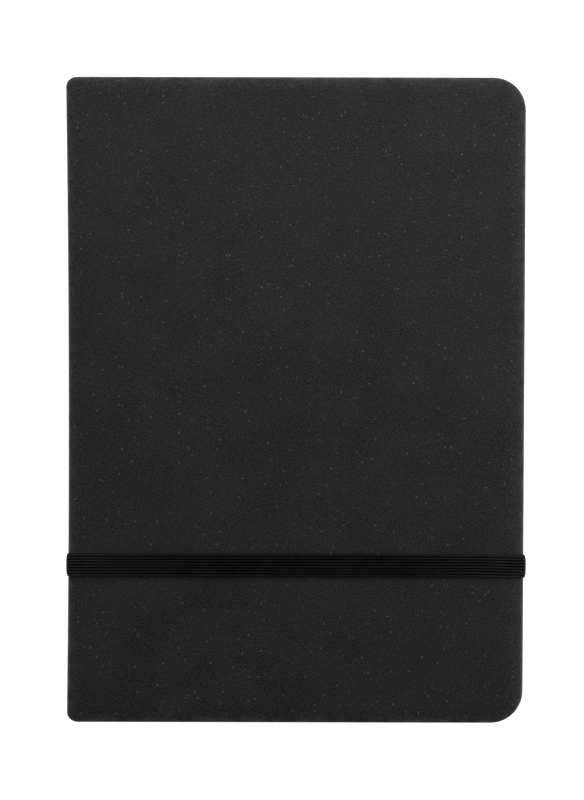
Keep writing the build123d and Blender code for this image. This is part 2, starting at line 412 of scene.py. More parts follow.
finishes = {
    "leatherette": leatheretteFinish(),
    "greyboard": boardFinish(),
    "endpaper": paperFinish("endpaper", (0.66, 0.61, 0.5, 1), (0.76, 0.72, 0.61, 1),
                            1300.0, 0.02 * mm, 0.82),
    "drawing_paper": paperFinish("drawingPaper", (0.68, 0.64, 0.55, 1), (0.79, 0.76, 0.67, 1),
                                 1700.0, 0.04 * mm, 0.88),
    "woven_elastic": elasticFinish(),
    "linen_thread": threadFinish("linenThread", (0.5, 0.46, 0.37, 1), (0.78, 0.74, 0.63, 1),
                                 1500.0, 2600.0, 0.05 * mm, 0.7),
    "bookbinding_gauze": threadFinish("bookbindingGauze", (0.42, 0.39, 0.33, 1),
                                      (0.8, 0.77, 0.69, 1), 900.0, 900.0, 0.12 * mm, 0.8),
    "band_silk": threadFinish("bandSilk", (0.006, 0.006, 0.007, 1), (0.035, 0.035, 0.037, 1),
                              3000.0, 5200.0, 0.05 * mm, 0.5),
}
print("finishes made:", ", ".join(finishes))


# Mesh helpers
def linkMesh(name, bm):
    mesh = bpy.data.meshes.new(name)
    bm.to_mesh(mesh)
    bm.free()
    piece = bpy.data.objects.new(name, mesh)
    scene.collection.objects.link(piece)
    return piece


def addPiece(name, bm, slot):
    # Welds and closes the mesh before it becomes a piece
    bmesh.ops.remove_doubles(bm, verts=bm.verts, dist=0.002 * mm)
    bmesh.ops.dissolve_degenerate(bm, edges=bm.edges, dist=0.0005 * mm)
    gaps = [edge for edge in bm.edges if edge.is_boundary]
    bmesh.ops.holes_fill(bm, edges=gaps, sides=0)
    bmesh.ops.recalc_face_normals(bm, faces=bm.faces)
    piece = linkMesh(name, bm)
    piece.data.materials.append(finishes[slot])
    return finishPiece(piece)


def joinRings(bm, rows):
    count = len(rows[0])
    for first, second in zip(rows, rows[1:]):
        for i in range(count):
            j = (i + 1) % count
            bm.faces.new((first[i], first[j], second[j], second[i]))


def finishPiece(piece, sharpAngle=40.0):
    mesh = piece.data
    mesh.shade_smooth()
    mesh.set_sharp_from_angle(angle=math.radians(sharpAngle))
    place = mesh.attributes.new("place", "FLOAT_VECTOR", "POINT")
    flat = [c for v in mesh.vertices for c in v.co]
    place.data.foreach_set("vector", flat)
    return piece


def ease(value):
    value = max(0.0, min(1.0, value))
    return value * value * (3 - 2 * value)


def sideLoop(inset, startX, endX, half, corner, alongSteps=26, downSteps=56, turnSteps=10):
    # Three sides of a rounded outline, open at startX, each point with its share of the end side
    way = 1.0 if endX > startX else -1.0
    top = max(half - inset, 0.0)
    edge = endX - way * inset
    radius = min(max(corner - inset, 0.0), top)
    centreX = edge - way * radius
    points = []
    for step in range(alongSteps):
        points.append((startX + (centreX - startX) * step / alongSteps, top, 0.0))
    for step in range(turnSteps):
        angle = math.pi / 2 * step / turnSteps
        points.append((centreX + way * radius * math.sin(angle),
                       top - radius + radius * math.cos(angle), ease(1.3 * step / turnSteps)))
    for step in range(downSteps + 1):
        level = (top - radius) * (1 - 2 * step / downSteps)
        points.append((edge, level, 1.0))
    for step in range(1, turnSteps + 1):
        angle = math.pi / 2 * step / turnSteps
        points.append((centreX + way * radius * math.cos(angle),
                       -(top - radius) - radius * math.sin(angle),
                       ease(1.3 * (1 - step / turnSteps))))
    for step in range(1, alongSteps + 1):
        points.append((centreX + (startX - centreX) * step / alongSteps, -top, 0.0))
    return points


def skinLoops(bm, loops, ring=False, edgeMarks=None):
    # Each loop is a list of points; quads run from loop to loop, and flat faces close the open side
    layer = bm.verts.layers.float.get("edge") or bm.verts.layers.float.new("edge")
    rows = []
    for number, loop in enumerate(loops):
        row = [bm.verts.new(point) for point in loop]
        for vertex in row:
            vertex[layer] = edgeMarks[number] if edgeMarks else 0.0
        rows.append(row)
    count = len(rows[0])
    pairs = list(zip(rows, rows[1:]))
    if ring:
        pairs.append((rows[-1], rows[0]))
    for first, second in pairs:
        for i in range(count - 1):
            bm.faces.new((first[i], first[i + 1], second[i + 1], second[i]))
    heads, tails = [row[0] for row in rows], [row[-1] for row in rows]
    caps = [heads, tails] if ring else [heads + tails[::-1]]
    made = [bm.faces.new(cap) for cap in caps]
    bmesh.ops.triangulate(bm, faces=made, ngon_method="EAR_CLIP")
    return rows


def stackLoops(stations, start, end, half, corner, **steps):
    # One outline for each station, at its own inset and height
    return [[(x, y, z) for x, y, _ in sideLoop(inset, start, end, half, corner, **steps)]
            for inset, z, *_ in stations]


# Covers
coverShape = {
    "cloth": 0.4 * mm, "turnIn": 15.0 * mm, "corner": 10.8 * mm, "spineCorner": 3.5 * mm,
    "fall": 0.4 * mm,         # how far the face sinks towards its rim
    "fallWidth": 5.4 * mm,
    "foreFall": 0.38 * mm,    # a further slope along the fore-edge
    "foreWidth": 9.0 * mm,
    "rim": 0.9 * mm,          # rounding at the rim
    "under": 0.35 * mm,       # rounding where the cloth turns in
    "flare": 0.78 * mm,       # how much the spine edge opens at the head and the tail
    "waist": 0.25 * mm,       # how far it draws in at mid-height
    # Insets from the rim in mm: over the face, down its slope and along the turn-in
    "faceInsets": (107.5, 90, 72, 58, 46, 36, 28, 21, 15, 11, 8, 6.4),
    "slopeInsets": (5.4, 4.5, 3.6, 2.8, 2.1, 1.5, 1.15),
    "turnInsets": (1.2, 2.6, 6, 10, 14.2),
    "rubAndHighlightReach": 3.5, "rubAndHighlightShare": 0.6,     # how far in from the rim the lighter rim mark reaches, in mm, and how much; the mark is rubbing wear and a painted highlight together
    "sinkFrom": 0.8, "sinkOver": 1.6,     # heights in mm over which the fore-edge slope sets in
}
paperLevel = 0.2 * mm


def faceHeight(inset):
    shape = coverShape
    sink = shape["fall"] * (1 - min(inset / shape["fallWidth"], 1.0)) ** 2
    return coverStack - sink


def foreSink(x):
    # How much lower the face lies beside the fore-edge
    shape = coverShape
    near = max(0.0, (x - foreEdge + shape["foreWidth"]) / shape["foreWidth"])
    return shape["foreFall"] * near * near


def rimStations(steps=7):
    # Inset and height from the flat face over the rounded rim, with how near the rim each is
    shape = coverShape
    stations = [(d * mm, faceHeight(d * mm), ease(1 - d / shape["rubAndHighlightReach"]) * shape["rubAndHighlightShare"])
                for d in shape["slopeInsets"]]
    low = faceHeight(shape["rim"]) - shape["rim"]
    for step in range(steps + 1):
        angle = math.pi / 2 * step / steps
        stations.append((shape["rim"] * (1 - math.sin(angle)),
                         low + shape["rim"] * math.cos(angle), 1.0 - 0.5 * step / steps))
    return stations


def onCover(side, loops):
    # Heights are counted outwards from the cover's inner face
    start, over = coverShape["sinkFrom"], coverShape["sinkOver"]
    placed = []
    for loop in loops:
        heights = [z - foreSink(x) * ease((z / mm - start) / over) for x, _, z in loop]
        placed.append([(x, y, innerFace[side] + outward[side] * height)
                       for (x, y, _), height in zip(loop, heights)])
    return placed


def coverCloth(side):
    shape = coverShape
    cloth, under = shape["cloth"], shape["under"]
    stations = [(min(d * mm, halfHeight), coverStack, 0.0) for d in shape["faceInsets"]]
    stations += rimStations()
    bottom = paperLevel
    for step in range(4):
        angle = math.pi / 2 * step / 3
        stations.append((under * (1 - math.cos(angle)),
                         bottom + under * (1 - math.sin(angle)), shape["rubAndHighlightShare"]))
    stations += [(d * mm, bottom, 0.0) for d in shape["turnInsets"]]
    turn = shape["turnIn"]
    stations += [(turn - 0.1 * mm, bottom + 0.06 * mm, 0), (turn, bottom + 0.18 * mm, 0)]
    stations += [(turn, bottom + cloth, 0), (cloth + 0.5 * mm, bottom + cloth, 0)]
    stations += [(cloth, bottom + cloth + 0.4 * mm, 0), (cloth, 1.9 * mm, 0)]
    stations += [(0.95 * mm, faceHeight(0.95 * mm) - cloth - 0.05 * mm, 0)]
    stations += [(d * mm, faceHeight(d * mm) - cloth, 0) for d in (2.0, 5.4, 30)]
    stations += [(halfHeight, coverStack - cloth, 0)]
    loops = stackLoops(stations, boardStart, foreEdge, halfHeight, shape["corner"])
    bm = bmesh.new()
    skinLoops(bm, onCover(side, loops), edgeMarks=[mark for _, _, mark in stations])
    return addPiece(side + "_cover_cloth", bm, "leatherette")


def coverBoard(side):
    shape = coverShape
    cloth = shape["cloth"]
    low = paperLevel + cloth + 0.02 * mm
    stations = [(halfHeight, coverStack - cloth - 0.02 * mm)]
    stations += [(d * mm, faceHeight(d * mm) - cloth - 0.03 * mm) for d in (30, 5.4, 2.0)]
    stations += [(1.0 * mm, faceHeight(1.0 * mm) - cloth - 0.12 * mm), (0.45 * mm, 1.85 * mm)]
    stations += [(0.45 * mm, low + 0.4 * mm), (0.9 * mm, low), (halfHeight, low)]
    loops = stackLoops(stations, boardStart, foreEdge, halfHeight, shape["corner"])
    bm = bmesh.new()
    skinLoops(bm, onCover(side, loops))
    return addPiece(side + "_cover_board", bm, "greyboard")


def spineShift(y):
    shape = coverShape
    share = min(abs(y) / halfHeight, 1.0)
    return shape["waist"] - shape["flare"] * share * share


def coverJoint(side):
    shape = coverShape
    cloth = shape["cloth"]
    outer = [(d, z, d, z, mark) for d, z, mark in rimStations()]
    hinge = hingeOf[side + "_cover_hinge"].z
    drop = -abs(hinge - spineEnd[side]) - abs(innerFace[side] - hinge)
    # spine side: inset, height; head and tail: inset, height
    folds = [
        (0.0, 1.0, 0.04, 1.85), (0.0, 0.0, 0.25, 1.72), (0.0, drop / mm, 0.45, 1.7),
        (0.4, drop / mm, 0.75, 1.78), (0.4, 0.0, 1.1, 1.95), (0.4, 1.6, 1.6, 2.3),
        (0.75, 2.45, 2.2, 2.6), (1.3, 2.62, 3.0, 2.76),
    ]
    inner = [(a * mm, b * mm, c * mm, d * mm, 0.2) for a, b, c, d in folds]
    inner += [(3.0 * mm, coverStack - cloth, 3.8 * mm, coverStack - cloth, 0),
              (5.4 * mm, coverStack - cloth, 5.4 * mm, coverStack - cloth, 0)]
    loops, marks = [], []
    for insetA, zA, insetB, zB, mark in outer + inner:
        spineSide = sideLoop(insetA, boardStart, spineEdge, halfHeight, shape["spineCorner"])
        endSide = sideLoop(insetB, boardStart, spineEdge, halfHeight, shape["spineCorner"])
        loop = []
        for (xa, ya, share), (xb, yb, _) in zip(spineSide, endSide):
            x, y = xb + (xa - xb) * share, yb + (ya - yb) * share
            reach = (boardStart - x) / (boardStart - spineEdge)
            loop.append((x + spineShift(y) * ease(reach), y, zB + (zA - zB) * share))
        loops.append(loop)
        marks.append(mark)
    bm = bmesh.new()
    skinLoops(bm, onCover(side, loops), ring=True, edgeMarks=marks)
    return addPiece(side + "_joint_cloth", bm, "leatherette")


spineShape = {"thick": 0.4 * mm, "whole": 1.45 * mm, "end": 106.7 * mm, "steps": 64}


def spineCloth():
    # The plan outline of the wrap, folded back round both ends of the card, raised over the height
    shape = spineShape
    radius = coverShape["spineCorner"]
    turn = coverShape["turnIn"]

    def outerX(y):
        past = max(abs(y) - (halfHeight - radius), 0.0)
        return spineEdge + spineShift(y) + radius - math.sqrt(radius * radius - past * past)

    end, thick, whole = shape["end"], shape["thick"], shape["whole"]
    ys = [-end + 2 * end * i / shape["steps"] for i in range(shape["steps"] + 1)]
    outer = [(outerX(y), y) for y in ys]

    def fold(way, gap, back):
        centre = outerX(way * end) + whole / 2
        points = []
        for step in range(1, 8):
            angle = math.pi * step / 8
            points.append((centre - (whole / 2 - gap) * math.cos(angle),
                           way * (end + (whole / 2 - gap) * math.sin(angle) * 0.8)))
        return points[::-1] if back else points

    tongue = halfHeight - turn
    wide = spineEdge + spineShift(tongue) + whole
    outline = outer + fold(1, 0, False)
    outline += [(wide, tongue), (wide - thick, tongue)]
    outline += fold(1, thick, True)
    outline += [(outerX(y) + thick, y) for y in reversed(ys)]
    outline += fold(-1, thick, False)
    outline += [(wide - thick, -tongue), (wide, -tongue)] + fold(-1, 0, True)
    levels = [spineLow.z + (spineHigh.z - spineLow.z) * i / 6 for i in range(7)]
    bm = bmesh.new()
    rows = [[bm.verts.new((x, y, z)) for x, y in outline] for z in levels]
    joinRings(bm, rows)
    ends = [bm.faces.new(rows[0][::-1]), bm.faces.new(rows[-1])]
    bmesh.ops.triangulate(bm, faces=ends, ngon_method="EAR_CLIP")
    return addPiece("spine_cloth", bm, "leatherette")


for side in ("front", "back"):
    body = side + "_cover"
    cloth = coverCloth(side)
    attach(cloth, body)
    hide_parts("cover_" + side)
    board = coverBoard(side)
    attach(board, body)
    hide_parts(side + "_board")
    joint = coverJoint(side)
    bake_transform(joint)
    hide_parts("cover_joint_" + side)
wrap = spineCloth()
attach(wrap, "text_block")
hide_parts("cover_spine")
print("covers, joints and spine wrapped")


# Endpapers pasted inside the covers
pasteShape = {"corner": 7.8 * mm, "thick": 0.2 * mm, "sunk": 0.07 * mm, "ridge": 12.0 * mm}


def pastedPaper(side):
    shape = pasteShape
    half, start, end = pasteHigh.y, pasteLow.x, pasteHigh.x
    sunk, thick, ridge = shape["sunk"], shape["thick"], shape["ridge"]
    stations = [(half, sunk), (60 * mm, sunk), (30 * mm, sunk), (ridge + 0.9 * mm, sunk),
                (ridge + 0.3 * mm, sunk * 0.6), (ridge - 0.4 * mm, 0), (3 * mm, 0), (0.06 * mm, 0),
                (0, 0.05 * mm), (0, thick - 0.02 * mm), (0.06 * mm, thick),
                (ridge, thick), (ridge + 1 * mm, thick + sunk), (half, thick + sunk)]
    loops = stackLoops(stations, start, end, half, shape["corner"], alongSteps=12, downSteps=20)
    bm = bmesh.new()
    skinLoops(bm, onCover(side, loops))
    return addPiece(side + "_pasted_endpaper", bm, "endpaper")


for side in ("front", "back"):
    paper = pastedPaper(side)
    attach(paper, side + "_cover")
    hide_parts(side + "_pastedown")
print("endpapers pasted")


# Loose leaves
leafShape = {"corner": 9.0 * mm, "bend": 6.0 * mm, "gutterSteps": 16, "cornerSteps": 9}


def looseLeaf(node, slot):
    shape = leafShape
    low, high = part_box(node)
    corner = shape["corner"]
    gutter, turns = shape["gutterSteps"], shape["cornerSteps"]
    xs = [low.x + shape["bend"] * i / gutter for i in range(gutter + 1)]
    flat = high.x - corner
    xs += [xs[-1] + (flat - xs[-1]) * i / 8 for i in range(1, 9)]
    reach = [(x, high.y) for x in xs]
    for i in range(1, turns + 1):
        angle = math.pi / 2 * i / turns
        reach.append((flat + corner * math.sin(angle), high.y - corner * (1 - math.cos(angle))))
    bm = bmesh.new()
    rows = [[bm.verts.new((x, y * s / 4, high.z)) for s in (-4, -2, 0, 2, 4)]
            + [bm.verts.new((x, y * s / 4, low.z)) for s in (4, 2, 0, -2, -4)] for x, y in reach]
    joinRings(bm, rows)
    for row in (rows[0], rows[-1]):
        for i in range(4):
            bm.faces.new((row[i], row[i + 1], row[8 - i], row[9 - i]))
    return addPiece(node + "_sheet", bm, slot)


looseOnes = [("front_flyleaf", "endpaper"), ("back_flyleaf", "endpaper")]
looseOnes += [(f"leaf_{n}", "drawing_paper") for n in range(1, 6)]
for node, slot in looseOnes:
    sheetPiece = looseLeaf(node, slot)
    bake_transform(sheetPiece)
    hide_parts(node)
print("loose leaves laid in:", len(looseOnes))


# Geometry Nodes helpers
def newTree(name, sockets):
    tree = bpy.data.node_groups.new(name, "GeometryNodeTree")
    tree.interface.new_socket("Geometry", in_out="OUTPUT", socket_type="NodeSocketGeometry")
    tree.interface.new_socket("Geometry", in_out="INPUT", socket_type="NodeSocketGeometry")
    for label, kind in sockets:
        tree.interface.new_socket(label, in_out="INPUT", socket_type=kind)
    return tree, tree.nodes.new("NodeGroupInput").outputs, tree.nodes.new("NodeGroupOutput").inputs


def closeTree(tree, given, made, geometry):
    real = addNode(tree, "GeometryNodeRealizeInstances", {0: geometry})
    painted = addNode(tree, "GeometryNodeSetMaterial", {
        "Geometry": real.outputs[0], "Material": given["Finish"]})
    tree.links.new(painted.outputs[0], made["Geometry"])


def growPiece(piece, tree, values, slot, sharpAngle=40.0):
    # Runs the tree once, keeps its result as a plain mesh and drops the modifier
    modifier = piece.modifiers.new("grow", "NODES")
    modifier.node_group = tree
    for item in tree.interface.items_tree:
        if item.in_out == "INPUT" and item.name in values:
            modifier[item.identifier] = values[item.name]
    piece.update_tag()
    graph = bpy.context.evaluated_depsgraph_get()
    mesh = bpy.data.meshes.new_from_object(piece.evaluated_get(graph))
    piece.modifiers.clear()
    mesh.name = piece.name
    piece.data = mesh
    if not mesh.materials:
        mesh.materials.append(finishes[slot])
    return finishPiece(piece, sharpAngle)


def pathPiece(name, points):
    mesh = bpy.data.meshes.new(name)
    mesh.from_pydata(points, [(i, i + 1) for i in range(len(points) - 1)], [])
    piece = bpy.data.objects.new(name, mesh)
    scene.collection.objects.link(piece)
    return piece


# The sewn sections: four folded sheets nested in each, eight sections
sectionShape = {
    "sheets": 4, "leaf": 0.18 * mm, "paper": 0.165 * mm, "fold": 0.72 * mm,
    "corner": 9.0 * mm, "unevenX": 0.09 * mm, "unevenY": 0.05 * mm, "seed": 11,
    "trim": (0.0, -0.05, 0.04, -0.08),    # how much each sheet's fore-edge stands out, in mm
}


def oneSection(low, high):
    shape = sectionShape
    corner, halfPage = shape["corner"], high.y
    bm = bmesh.new()
    for number in range(shape["sheets"]):
        radius = (number + 0.5) * shape["leaf"]
        fore = high.x + shape["trim"][number] * mm
        centre = low.x + shape["fold"]
        flat = fore - corner
        line = [(flat + corner * math.cos(a), -radius, 0, -1,
                 halfPage - corner * (1 - math.sin(a)))
                for a in [math.pi / 2 * i / 6 for i in range(7)]]
        line.append((centre, -radius, 0, -1, halfPage))
        for step in range(1, 8):
            angle = math.pi * step / 8
            dx, dz = -math.sin(angle), -math.cos(angle)
            line.append((centre + radius * dx, radius * dz, dx, dz, halfPage))
        line.append((centre, radius, 0, 1, halfPage))
        line += [(x, -z, nx, -nz, h) for x, z, nx, nz, h in line[6::-1]]
        rows = []
        for x, z, nx, nz, reach in line:
            half = shape["paper"] / 2
            rows.append([bm.verts.new((x + s * nx * half, way * reach, z + s * nz * half))
                         for s, way in ((1, -1), (1, 1), (-1, 1), (-1, -1))])
        joinRings(bm, rows)
        bm.faces.new(rows[0][::-1])
        bm.faces.new(rows[-1])
    bmesh.ops.recalc_face_normals(bm, faces=bm.faces)
    return linkMesh("section", bm)


def sectionTree():
    tree, given, made = newTree("sewnSections", [
        ("Section", "NodeSocketObject"), ("Sections", "NodeSocketInt"),
        ("First", "NodeSocketVector"), ("Pitch", "NodeSocketFloat"),
        ("Uneven X", "NodeSocketFloat"), ("Uneven Y", "NodeSocketFloat"),
        ("Seed", "NodeSocketInt"), ("Finish", "NodeSocketMaterial"),
    ])
    rise = vector(tree, Z=given["Pitch"])
    stack = addNode(tree, "GeometryNodeMeshLine", {
        "Count": given["Sections"], "Start Location": given["First"],
        "Offset": rise})
    section = addNode(tree, "GeometryNodeObjectInfo", {"Object": given["Section"]})
    placed = addNode(tree, "GeometryNodeInstanceOnPoints", {
        "Points": stack.outputs[0], "Instance": section.outputs["Geometry"]})
    shifts = []
    for label, extra in (("Uneven X", 0), ("Uneven Y", 7)):
        low = times(tree, given[label], -1.0)
        seed = mathNode(tree, "ADD", given["Seed"], float(extra))
        shifts.append(addNode(tree, "FunctionNodeRandomValue", {
            2: low, 3: given[label], 8: seed}, data_type="FLOAT").outputs[1])
    shift = vector(tree, X=shifts[0], Y=shifts[1])
    moved = addNode(tree, "GeometryNodeTranslateInstances", {
        "Instances": placed.outputs[0], "Translation": shift})
    closeTree(tree, given, made, moved.outputs[0])
    return tree


def pageBlock():
    shape = sectionShape
    names = [f"signature_{n}" for n in range(1, 9)]
    boxes = sorted((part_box(n) for n in names), key=lambda b: b[0].z)
    section = oneSection(*boxes[0])
    pitch = boxes[1][0].z - boxes[0][0].z
    middle = (boxes[0][0].z + boxes[0][1].z) / 2
    block = pathPiece("page_block", [(0, 0, 0), (0, 0, mm)])
    growPiece(block, sectionTree(), {
        "Section": section, "Sections": len(names), "First": (0.0, 0.0, middle), "Pitch": pitch,
        "Uneven X": shape["unevenX"], "Uneven Y": shape["unevenY"], "Seed": shape["seed"],
        "Finish": finishes["drawing_paper"]}, "drawing_paper", 50.0)
    bpy.data.objects.remove(section)
    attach(block, "text_block")
    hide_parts(*names)


pageBlock()
print("page block sewn")


# Head and tail bands: thread wound round a core
bandShape = {
    "bead": 0.8 * mm, "inset": 0.5 * mm, "wind": 0.42 * mm, "thread": 0.23 * mm, "lean": 0.16,
    "tape": 0.28 * mm, "tapeEnd": 93 * mm, "bite": 0.1 * mm,
}


def bandTree():
    tree, given, made = newTree("woundBand", [
        ("Winds", "NodeSocketInt"), ("Start", "NodeSocketVector"), ("Pitch", "NodeSocketFloat"),
        ("Bead Radius", "NodeSocketFloat"), ("Thread Radius", "NodeSocketFloat"),
        ("Lean", "NodeSocketFloat"), ("Finish", "NodeSocketMaterial"),
    ])
    rise = vector(tree, Z=given["Pitch"])
    line = addNode(tree, "GeometryNodeMeshLine", {
        "Count": given["Winds"], "Start Location": given["Start"],
        "Offset": rise})
    middle = mathNode(tree, "SUBTRACT", given["Bead Radius"], given["Thread Radius"])
    ring = addNode(tree, "GeometryNodeCurvePrimitiveCircle", {"Resolution": 14, "Radius": middle})
    section = addNode(tree, "GeometryNodeCurvePrimitiveCircle", {
        "Resolution": 6, "Radius": given["Thread Radius"]})
    strand = addNode(tree, "GeometryNodeCurveToMesh", {
        "Curve": ring.outputs[0], "Profile Curve": section.outputs[0]})
    wound = addNode(tree, "GeometryNodeInstanceOnPoints", {
        "Points": line.outputs[0], "Instance": strand.outputs[0],
        "Rotation": vector(tree, Y=given["Lean"])})
    joined = addNode(tree, "GeometryNodeJoinGeometry")
    tree.links.new(given["Geometry"], joined.inputs[0])
    tree.links.new(wound.outputs[0], joined.inputs[0])
    closeTree(tree, given, made, joined.outputs[0])
    return tree


def beadCore(name, x, y, low, high, radius, tapeBox):
    # The cord inside the windings, and the tape glued down the spine
    bm = bmesh.new()
    rows = [[bm.verts.new((x + radius * math.cos(t), y + radius * math.sin(t), z))
             for t in [2 * math.pi * i / 12 for i in range(12)]] for z in (low, high)]
    joinRings(bm, rows)
    bm.faces.new(rows[0][::-1])
    bm.faces.new(rows[1])
    (x0, y0, z0), (x1, y1, z1) = tapeBox
    corners = [bm.verts.new((a, b, c)) for c in (z0, z1) for a, b in
               ((x0, y0), (x1, y0), (x1, y1), (x0, y1))]
    for face in ((3, 2, 1, 0), (4, 5, 6, 7), (0, 1, 5, 4),
                 (1, 2, 6, 5), (2, 3, 7, 6), (3, 0, 4, 7)):
        bm.faces.new([corners[i] for i in face])
    return linkMesh(name, bm)


windings = bandTree()
for node, way in (("head_band", 1), ("tail_band", -1)):
    shape = bandShape
    low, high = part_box(node)
    x = foldX + shape["inset"]
    y = way * (blockHigh.y + shape["bead"])
    y0, y1 = sorted((way * abs(low.y if way < 0 else high.y), way * shape["tapeEnd"]))
    radius = shape["bead"] - 2 * shape["thread"] + shape["bite"]
    tapeBox = ((low.x, y0, low.z), (low.x + shape["tape"], y1, high.z))
    core = beadCore(node + "_wound", x, y, low.z, high.z, radius, tapeBox)
    winds = int((high.z - low.z - 2 * shape["thread"]) / shape["wind"]) + 1
    growPiece(core, windings, {
        "Winds": winds, "Start": (x, y, low.z + shape["thread"]), "Pitch": shape["wind"],
        "Bead Radius": shape["bead"], "Thread Radius": shape["thread"], "Lean": shape["lean"],
        "Finish": finishes["band_silk"]}, "band_silk")
    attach(core, "text_block")
    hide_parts(node)
print("head and tail bands wound")


# The elastic: eight ribs side by side, in five pieces laid end to end round the book
elasticShape = {
    "ribs": 8, "pitch": 0.96 * mm, "ribWide": 0.86 * mm, "ribHigh": 0.8 * mm,
    "webWide": 7.0 * mm, "webHigh": 0.22 * mm,   # the thin knit between the ribs
    "sideWeb": 0.66 * mm,     # the knit closes up where the band turns round the sides
    "uneven": 0.03 * mm, "wander": 0.08 * mm, "slant": 0.02 * mm, "dip": 0.26 * mm,
    "dipFrom": 60 * mm, "dipOver": 16 * mm,
    "rise": 0.57 * mm,        # how much nearer the head the band lies than the CAD strap
    "snug": {"spine": 0.2 * mm, "fore": 0.0},
    "turn": 1.2 * mm, "step": 2.5 * mm, "seed": 5,
    "cup": 0.32 * mm,         # the outer ribs draw in where the band turns round the sides
    "cupFrom": 2.2 * mm, "cupOver": 2.5 * mm, "wanderScale": 38.0,
    "sideFrom": 0.7, "sideOver": 0.25,    # shares of the half thickness where it follows the slope
    "slotX": 60.0 * mm, "slotDepth": 0.7 * mm,
}


def ribTree():
    tree, given, made = newTree("ribbedElastic", [
        ("Ribs", "NodeSocketInt"), ("Pitch", "NodeSocketFloat"), ("Rib Width", "NodeSocketFloat"),
        ("Rib Height", "NodeSocketFloat"), ("Web Width", "NodeSocketFloat"),
        ("Web Height", "NodeSocketFloat"), ("Uneven", "NodeSocketFloat"),
        ("Wander", "NodeSocketFloat"), ("Cup", "NodeSocketFloat"), ("Side", "NodeSocketFloat"),
        ("Seed", "NodeSocketInt"), ("Finish", "NodeSocketMaterial"),
    ])
    line = addNode(tree, "GeometryNodeMeshToCurve", {0: given["Geometry"]})
    length = addNode(tree, "GeometryNodeSplineParameter")
    marked = addNode(tree, "GeometryNodeStoreNamedAttribute", {
        "Geometry": line.outputs[0], "Name": "along", "Value": length.outputs["Length"]},
        data_type="FLOAT", domain="POINT")
    ribs = addNode(tree, "GeometryNodeDuplicateElements", {
        "Geometry": marked.outputs[0], "Amount": given["Ribs"]}, domain="SPLINE")
    number = ribs.outputs["Duplicate Index"]
    centre = times(tree, mathNode(tree, "SUBTRACT", given["Ribs"], 1.0), 0.5)
    across = times(tree, mathNode(tree, "SUBTRACT", number, centre), given["Pitch"])
    jitter = addNode(tree, "FunctionNodeRandomValue", {
        2: times(tree, given["Uneven"], -1.0), 3: given["Uneven"], 7: number, 8: given["Seed"]},
        data_type="FLOAT").outputs[1]
    place = addNode(tree, "GeometryNodeInputPosition").outputs[0]
    soft = noise(tree, place, elasticShape["wanderScale"], 2.0)
    drift = times(tree, mathNode(tree, "SUBTRACT", soft, 0.5), given["Wander"])
    x = addNode(tree, "ShaderNodeSeparateXYZ", {0: place}).outputs["X"]
    reach = mathNode(tree, "SUBTRACT", mathNode(tree, "ABSOLUTE", x), given["Side"])
    beside = mathNode(tree, "DIVIDE", reach, elasticShape["cupOver"], clamp=True)
    share = mathNode(tree, "DIVIDE", across, times(tree, centre, given["Pitch"]))
    outer = mathNode(tree, "POWER", mathNode(tree, "ABSOLUTE", share), 5.0)
    cup = times(tree, mathNode(tree, "SIGN", x), given["Cup"])
    inward = times(tree, times(tree, times(tree, outer, beside), cup), -1.0)
    aside = mathNode(tree, "ADD", across, mathNode(tree, "ADD", jitter, drift))
    placed = addNode(tree, "GeometryNodeSetPosition", {
        "Geometry": ribs.outputs["Geometry"], "Offset": vector(tree, X=inward, Y=aside)})
    circle = addNode(tree, "GeometryNodeCurvePrimitiveCircle", {"Resolution": 12, "Radius": 0.5})
    level = addNode(tree, "ShaderNodeSeparateXYZ", {
        0: addNode(tree, "GeometryNodeInputPosition").outputs[0]}).outputs["Y"]
    # Height round the rib's profile; the finish paints shade where it is low
    ring = addNode(tree, "GeometryNodeStoreNamedAttribute", {
        "Geometry": circle.outputs[0], "Name": "crest",
        "Value": times(tree, level, 2.0)}, data_type="FLOAT", domain="POINT")
    sizes = vector(tree, X=given["Rib Width"], Y=given["Rib Height"], Z=1.0)
    profile = addNode(tree, "GeometryNodeTransform", {
        "Geometry": ring.outputs[0], "Scale": sizes})
    tubes = addNode(tree, "GeometryNodeCurveToMesh", {
        "Curve": placed.outputs[0], "Profile Curve": profile.outputs[0], "Fill Caps": True})
    flat = vector(tree, X=given["Web Width"], Y=given["Web Height"], Z=1.0)
    strip = addNode(tree, "GeometryNodeTransform", {
        "Geometry": circle.outputs[0], "Scale": flat})
    web = addNode(tree, "GeometryNodeCurveToMesh", {
        "Curve": marked.outputs[0], "Profile Curve": strip.outputs[0], "Fill Caps": True})
    whole = addNode(tree, "GeometryNodeJoinGeometry")
    tree.links.new(web.outputs[0], whole.inputs[0])
    tree.links.new(tubes.outputs[0], whole.inputs[0])
    closeTree(tree, given, made, whole.outputs[0])
    return tree


def bandY(x):
    # The band lies a little askew and dips towards the fore-edge
    shape = elasticShape
    dip = shape["dip"] * ease((x - shape["dipFrom"]) / shape["dipOver"])
    return elasticMiddle + shape["rise"] - shape["slant"] * x / foreEdge - dip


def runOf(points, radius):
    # A polyline with its bends rounded, divided finely enough to follow the band
    path = [Vector(points[0])]
    for before, corner, after in zip(points, points[1:], points[2:]):
        corner = Vector(corner)
        come, go = (Vector(before) - corner).normalized(), (Vector(after) - corner).normalized()
        first, last = corner + come * radius, corner + go * radius
        for step in range(7):
            t = step / 6
            path.append(first * (1 - t) ** 2 + corner * 2 * t * (1 - t) + last * t * t)
    path.append(Vector(points[-1]))
    fine = [path[0]]
    for first, last in zip(path, path[1:]):
        count = max(1, int((last - first).length / elasticShape["step"]))
        fine += [first.lerp(last, (i + 1) / count) for i in range(count)]
    start, over = elasticShape["sideFrom"], elasticShape["sideOver"]
    lifted = []
    for p in fine:
        share = ease((abs(p.z - middleZ) / halfTall - start) / over)
        sink = foreSink(min(p.x, foreEdge)) * share
        lifted.append((p.x, bandY(p.x), p.z - math.copysign(sink, p.z - middleZ)))
    return lifted


